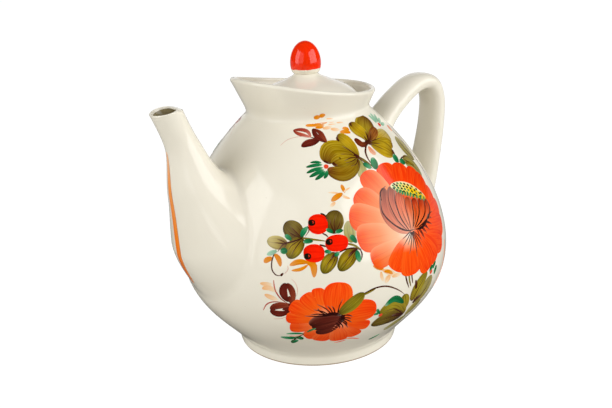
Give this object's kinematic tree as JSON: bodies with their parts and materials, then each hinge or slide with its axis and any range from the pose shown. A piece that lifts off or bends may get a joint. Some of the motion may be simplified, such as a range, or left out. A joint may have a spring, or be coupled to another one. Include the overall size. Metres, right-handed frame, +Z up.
{
  "type": "porcelain teapot",
  "caption": "Round porcelain teapot on a turned foot, with a slanted flared collar, long spout, loop handle, lift-off domed lid and painted flower bouquets.",
  "frame": {"origin": "on the table, under the middle of the whole length from spout to handle and of the whole width", "axes": "+Z up, -X towards the spout, +X towards the handle, Y across"},
  "size_m": [0.2042, 0.16, 0.1798],
  "materials": {
    "pot_glaze": "glossy ivory glaze with painted flowers",
    "collar_glaze": "glossy ivory glaze",
    "spout_glaze": "glossy ivory glaze with an orange brush stripe",
    "handle_glaze": "glossy ivory glaze",
    "lid_glaze": "glossy ivory glaze",
    "knob_enamel": "glossy orange-red enamel"
  },
  "bodies": {
    "pot": {"body": "pot_glaze", "collar": "collar_glaze", "spout": "spout_glaze", "handle": "handle_glaze"},
    "lid": {"lid": "lid_glaze", "knob": "knob_enamel"}
  },
  "joints": [
    {"name": "lid_lift", "type": "slide", "parent": "pot", "child": "lid", "axis": [0, 0, 1], "range_m": [0, 0.06]}
  ]
}
